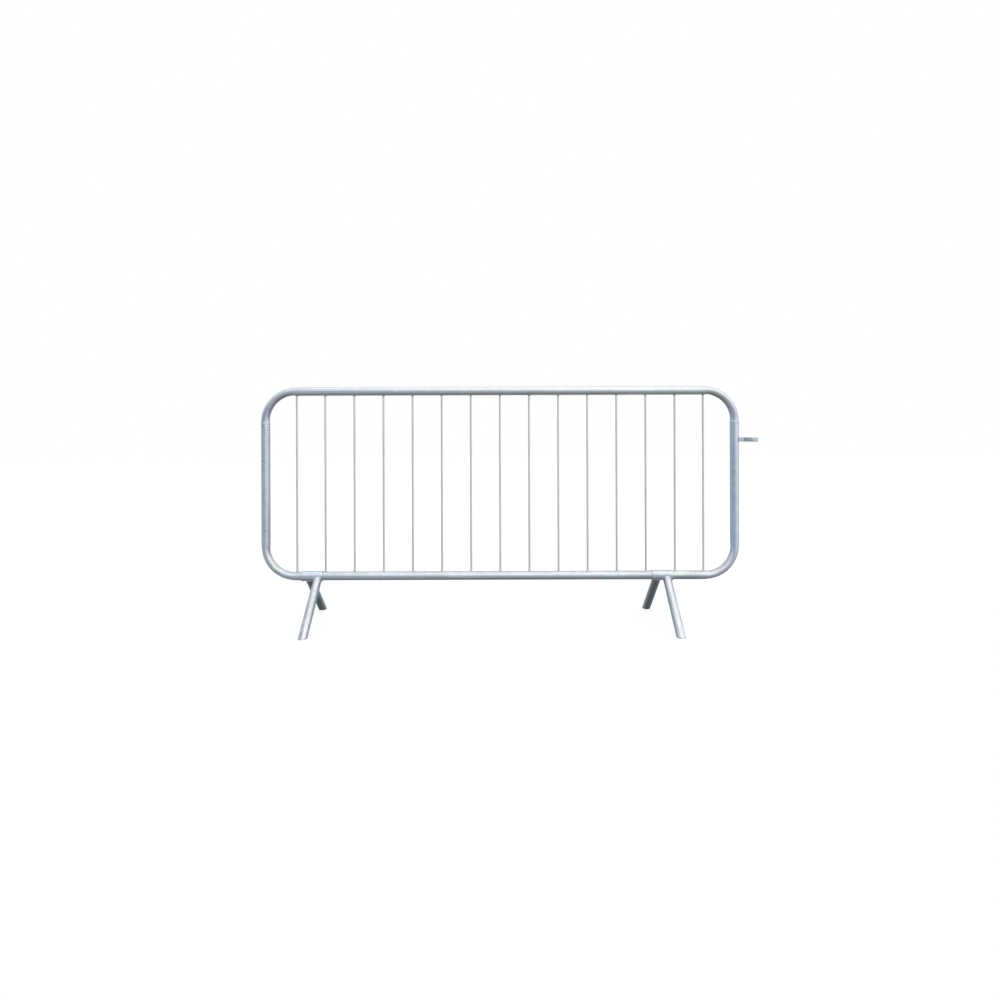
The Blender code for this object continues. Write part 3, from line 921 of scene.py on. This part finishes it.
def frame_measures(places, nodes):
    """Where a point of the frame lies and faces, and masks of the frame's regions."""
    height, along = nodes.axis("Z"), nodes.axis("X")
    from_middle = nodes.math("SUBTRACT", along, places.middle)
    ragged = nodes.ranged(nodes.noise(24.0, 4.0), 0.3, 0.7, -0.02, 0.02)
    right = nodes.ranged(along, places.middle - 0.1, places.middle + 0.1)
    return SimpleNamespace(
        height=height,
        along=along,
        beyond=nodes.math("ABSOLUTE", from_middle),
        reach=(places.right - places.left) / 2,
        ragged=ragged,
        ragged_height=nodes.math("ADD", height, ragged),
        rightward=nodes.facing("X"),
        outward=nodes.outward(places.middle),
        up=nodes.facing("Z"),
        right=right,
        left=nodes.math("SUBTRACT", 1.0, right),
        rail_left=nodes.ranged(from_middle, -0.10, -0.75),
        rail_right=nodes.ranged(from_middle, 0.10, 0.75),
        top_rail=nodes.ranged(height, places.top - 0.06, places.top - 0.02, smooth=True),
        bottom_rail=nodes.ranged(height, places.bottom + 0.05, places.bottom + 0.02, smooth=True),
    )


def rail_tints(places, nodes, at):
    """Rails: warmer above and bluer to the left; below, a darker band along the top and damp dirt to the
    right.
    """
    top_band_height = nodes.raised(at.height, at.ragged, 0.08)
    top_band_from, top_band_to = (places.bottom + share * places.radius for share in (0.72, 1.2))
    bottom_right = nodes.product(at.bottom_rail, at.rail_right)
    before_bend = nodes.ranged(at.beyond, at.reach - 0.12, at.reach - 0.22, smooth=True)
    return (
        (at.top_rail, (1.062, 1.042, 0.97)),
        (nodes.product(at.top_rail, at.rail_left), (1.0, 1.02, 1.09)),
        (nodes.product(at.bottom_rail, at.rail_left), (1.01, 1.03, 1.05)),
        (bottom_right, (0.96, 0.945, 0.91)),
        (nodes.window(top_band_height, top_band_from, top_band_to, 0.003), (0.90, 0.90, 0.90)),
        (nodes.product(bottom_right, nodes.ranged(at.up, 0.50, 0.15), before_bend), (0.90, 0.885, 0.87)),
    )


def upright_tints(places, nodes, at):
    """Uprights: lilac above the seams, painted shade on the inner sides, and a patch by the hook that
    hands rub.
    """
    near_seam = nodes.raised(at.height, at.ragged, 0.3)
    handled = nodes.product(
        nodes.window(at.ragged_height, places.seam - 0.15, places.seam, 0.02),
        at.right,
        nodes.ranged(at.rightward, 0.05, 0.35, smooth=True),
    )
    upright = nodes.window(at.height, places.bottom + 0.10, places.seam - 0.004, 0.02)
    # Painted shade on the inner sides of the uprights, deeper low down on the left one
    inner_left = nodes.product(nodes.ranged(at.outward, -0.45, -0.85, smooth=True), upright, at.left)
    inner_right = nodes.product(nodes.ranged(at.rightward, 0.30, -0.05, smooth=True), at.right, upright)
    low = nodes.ranged(at.height, places.bottom + 0.36, places.bottom + 0.26, smooth=True)
    return (
        (nodes.window(near_seam, places.seam + 0.008, places.seam + 0.07, 0.008), (0.90, 0.87, 0.96)),
        (handled, (1.03, 0.95, 1.02)),
        (inner_right, (0.92, 0.98, 1.03)),
        (inner_left, (0.95, 0.90, 0.83)),
        (nodes.product(inner_left, low), (0.86, 0.83, 1.0)),
    )


def lower_bend_tints(places, nodes, at):
    """Lower bends: darker on the inside, with a painted highlight along the inside of the right one."""
    bend = nodes.window(at.ragged_height, places.bottom + 0.02, places.bottom + 0.13, 0.02)
    highlight_band = nodes.window(at.ragged_height, places.bottom + 0.035, places.bottom + 0.12, 0.02)
    inside = nodes.math("SUBTRACT", at.outward, at.up)
    return (
        (nodes.product(bend, at.left), (0.96, 0.955, 0.90)),
        (nodes.product(bend, at.right), (1.0, 0.98, 1.0)),
        # Darker on the inside of the lower bends
        (nodes.product(bend, nodes.ranged(inside, -0.70, -1.1, smooth=True)), (0.93, 0.90, 0.90)),
        # A painted highlight along the inside of the right lower bend
        (nodes.product(highlight_band, nodes.window(inside, -1.00, -0.58, 0.12), at.right), (1.30, 1.32, 1.42)),
    )


def upper_bend_tints(places, nodes, at):
    """Upper bends: duller than the rail, with painted shade on the inside and across the right one, and a
    painted highlight on the left one's crown.
    """
    bend = nodes.product(
        nodes.ranged(at.height, places.top - 0.135, places.top - 0.10, smooth=True),
        nodes.ranged(at.beyond, at.reach - 0.145, at.reach - 0.10, smooth=True),
    )
    outside = nodes.math("ADD", at.outward, at.up)
    return (
        (nodes.product(bend, at.left), (0.95, 0.895, 0.92)),
        (nodes.product(bend, at.right), (0.93, 0.91, 0.88)),
        # Painted shade on the inner side of the upper bends
        (nodes.product(bend, nodes.ranged(outside, -0.75, -1.2, smooth=True)), (0.74, 0.74, 0.74)),
        # A band of painted shade across the right upper bend
        (nodes.product(bend, nodes.window(outside, -0.25, 0.30, 0.20), at.right), (0.82, 0.82, 0.82)),
        # A painted highlight on the crown of the left upper bend
        (nodes.product(bend, at.left, nodes.ranged(outside, 0.3, 1.0, smooth=True)), (1.28, 1.28, 1.22)),
    )


def darken_creases(places, collar_ends, nodes, at, colour):
    """Painted shade in the creases on the bottom rail at the collars' ends, and on the uprights above and
    below the seam welds.
    """
    on_rail = nodes.ranged(at.height, places.bottom + 0.04, places.bottom + 0.05, 1.0, 0.0)
    # Painted shade in the crease at each end of a collar
    for end, depth in zip(collar_ends, CREASE_DEPTHS):
        crease = nodes.window(at.along, end - 0.0022, end + 0.0022, 0.0012)
        colour = nodes.darkened(colour, nodes.product(crease, on_rail), depth)
    # Painted shade along both edges of each seam weld
    for edge in (places.seam - SEAM_EDGE, places.seam + SEAM_EDGE):
        colour = nodes.darkened(colour, nodes.window(at.height, edge - 0.0015, edge + 0.0015, 0.001), 0.95)
    return colour


def upright_spots(places):
    """Small marks on the fronts of the uprights: place, radius, strength and colour of each."""
    front = -0.94 * places.radius
    left, right, seam = places.left, places.right, places.seam
    return (
        ((left + 0.004, front, seam + 0.001), 0.008, 0.8, BARE_SPOT),
        ((left + 0.010, front, seam - 0.009), 0.006, 0.6, BARE_SPOT),
        ((left - 0.006, front, seam - 0.014), 0.006, 0.7, DARK_SPOT),
        ((left + 0.001, front, seam - 0.105), 0.005, 0.8, BARE_SPOT),
        ((left - 0.006, front, seam - 0.172), 0.005, 0.6, DARK_SPOT),
        ((left + 0.004, front, seam - 0.448), 0.007, 0.5, LILAC_SPOT),
        ((left - 0.001, front, seam - 0.472), 0.008, 0.4, LILAC_SPOT),
        ((left + 0.005, front, seam - 0.495), 0.006, 0.4, DARK_SPOT),
        ((right - 0.010, front, seam + 0.004), 0.008, 0.8, BARE_SPOT),
        ((right + 0.004, front, seam - 0.120), 0.011, 0.3, LILAC_SPOT),
        ((right + 0.003, front, seam - 0.148), 0.009, 0.25, LILAC_SPOT),
    )


def frame_marks(places, collar_ends, nodes, colour, dull):
    """Frame tubes: tints of rails, uprights and bends with their painted shade and highlights, painted
    shade in creases, small spots and the touch-up.
    """
    at = frame_measures(places, nodes)
    for tints in (rail_tints, upright_tints, lower_bend_tints, upper_bend_tints):
        for mask, tint in tints(places, nodes, at):
            colour = nodes.tinted(colour, mask, tint)
    colour = darken_creases(places, collar_ends, nodes, at, colour)
    for centre, radius, strength, tint in upright_spots(places):
        spot = nodes.product(nodes.spot(centre, radius, radius / 2), strength)
        colour = nodes.mix(spot, colour, tint)
    return touch_up(places, nodes, colour, dull)


# Stage


def height_ramp(nodes, share, stops_by_height):
    """A colour by height, from straight down (0) to straight up (1)."""
    ramp = nodes.add("ValToRGB", {"Fac": share})
    stops = ramp.color_ramp.elements
    for position, colour in stops_by_height:
        stops.new(position).color = (*colour, 1.0)
    stops.remove(stops[0])
    stops.remove(stops[-1])
    return ramp.outputs["Color"]


def light_world(world):
    """Soft studio light from all round: bright above, dim below, fuller towards the front right."""
    world.use_nodes = True
    world.node_tree.nodes.clear()
    nodes = Tree(world.node_tree)
    direction = nodes.add("TexCoord").outputs["Generated"]
    up = nodes.add("SeparateXYZ", {"Vector": direction}).outputs["Z"]
    height = nodes.add("MapRange", {0: up, 1: -1.0, 2: 1.0}).outputs[0]
    towards_key = nodes.add("VectorMath", {0: direction, 1: KEY_DIRECTION}, operation="DOT_PRODUCT")
    key_edges = {0: towards_key.outputs["Value"], 1: KEY_EDGES[0], 2: KEY_EDGES[1]}
    key_share = nodes.add("MapRange", key_edges, interpolation_type="SMOOTHSTEP").outputs[0]
    fill = height_ramp(nodes, height, FILL_BY_HEIGHT)
    key = height_ramp(nodes, height, KEY_BY_HEIGHT)
    lit = nodes.add("Mix", {0: key_share, 6: fill, 7: key}, data_type="RGBA").outputs[2]
    light = nodes.add("Background", {"Color": lit, "Strength": LIGHT_STRENGTH}).outputs[0]
    backdrop = nodes.add("Background", {"Color": grey(1.0), "Strength": 1.0}).outputs[0]
    seen = nodes.add("LightPath").outputs["Is Camera Ray"]
    both = nodes.add("MixShader", {0: seen, 1: light, 2: backdrop}).outputs[0]
    nodes.add("OutputWorld", {"Surface": both})


def make_light():
    world = bpy.data.worlds.new("studio")
    bpy.context.scene.world = world
    light_world(world)
    bpy.context.scene.view_settings.view_transform = "Standard"


def make_floor():
    """A plain pale floor, lit a little by itself so that the shadows on it stay faint."""
    mesh = bpy.data.meshes.new("floor")
    half = FLOOR_SIZE / 2
    corners = [(-half, -half, 0), (half, -half, 0), (half, half, 0), (-half, half, 0)]
    mesh.from_pydata(corners, [], [(0, 1, 2, 3)])
    floor = bpy.data.objects.new("floor", mesh)
    bpy.context.scene.collection.objects.link(floor)
    floor.location.z = -FLOOR_DROP
    floor.visible_glossy = False
    floor.visible_diffuse = False
    material = bpy.data.materials.new("pale_floor")
    material.use_nodes = True
    shader = material.node_tree.nodes["Principled BSDF"]
    shader.inputs["Base Color"].default_value = grey(FLOOR_TONE)
    shader.inputs["Roughness"].default_value = 1.0
    shader.inputs["Specular IOR Level"].default_value = 0.0
    shader.inputs["Emission Color"].default_value = grey(1.0)
    shader.inputs["Emission Strength"].default_value = FLOOR_GLOW
    mesh.materials.append(material)


def make_camera(places):
    camera = bpy.data.objects.new("camera", bpy.data.cameras.new("camera"))
    bpy.context.scene.collection.objects.link(camera)
    camera.data.sensor_width = SENSOR_WIDTH
    camera.data.lens = LENS
    camera.data.shift_y = VIEW_SHIFT
    camera.location = ((places.left + places.right) / 2, -CAMERA_DISTANCE, CAMERA_HEIGHT)
    camera.rotation_euler = (pi / 2, CAMERA_ROLL, 0)
    bpy.context.scene.camera = camera


# Assembly


def make_materials(places):
    collar_ends = [corner.x for side in ("left", "right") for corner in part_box(side + "_leg_collar")]
    frame_look = partial(frame_marks, places, collar_ends)
    bar_look, collar_look = partial(bar_marks, places), partial(collar_marks, places)
    leg_look = partial(leg_marks, places)
    return SimpleNamespace(
        frame=galvanised("frame_zinc", FRAME_ZINC, 0.20, streak=ALONG_X, marks=frame_look),
        bar=galvanised("bar_zinc", BAR_ZINC, 0.34, 0.03, ALONG_Z, bar_look),
        collar=galvanised("collar_zinc", COLLAR_ZINC, 0.22, 0.08, marks=collar_look),
        leg=galvanised("leg_zinc", LEG_ZINC, 0.22, 0.12, ALONG_LEGS, leg_look, grain=0.15),
        hook=galvanised("hook_zinc", HOOK_ZINC, 0.38, 0.05, grain=0.15),
        seam=galvanised("seam_zinc", SEAM_ZINC, 0.30, 0.16),
        weld=weld_zinc("weld_zinc", WELD_ZINC),
    )


def make_barrier(places, metal):
    collar_low, collar_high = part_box("left_leg_collar")
    collar_radius = (collar_high.y - collar_low.y) / 2
    for side in (1, -1):
        make_frame_tube(places, side, metal.frame)
    for number in range(1, BAR_COUNT + 1):
        make_infill_bar(places, f"infill_bar_{number:02d}", number, metal.bar)
    for side in ("left", "right"):
        make_seam_weld(places, side, metal.seam)
        make_collar(places, side, metal.collar)
        make_collar_weld(places, side, collar_radius, metal.weld)
        for face in ("front", "rear"):
            make_leg(places, f"{face}_{side}", collar_radius, metal.leg)
            make_leg_weld(places, f"{face}_{side}", collar_radius, metal.weld)
    make_hook(places, metal.hook)
    make_hook_weld(places, metal.weld)


def main():
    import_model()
    places = read_places()
    make_barrier(places, make_materials(places))
    make_floor()
    make_light()
    make_camera(places)


main()
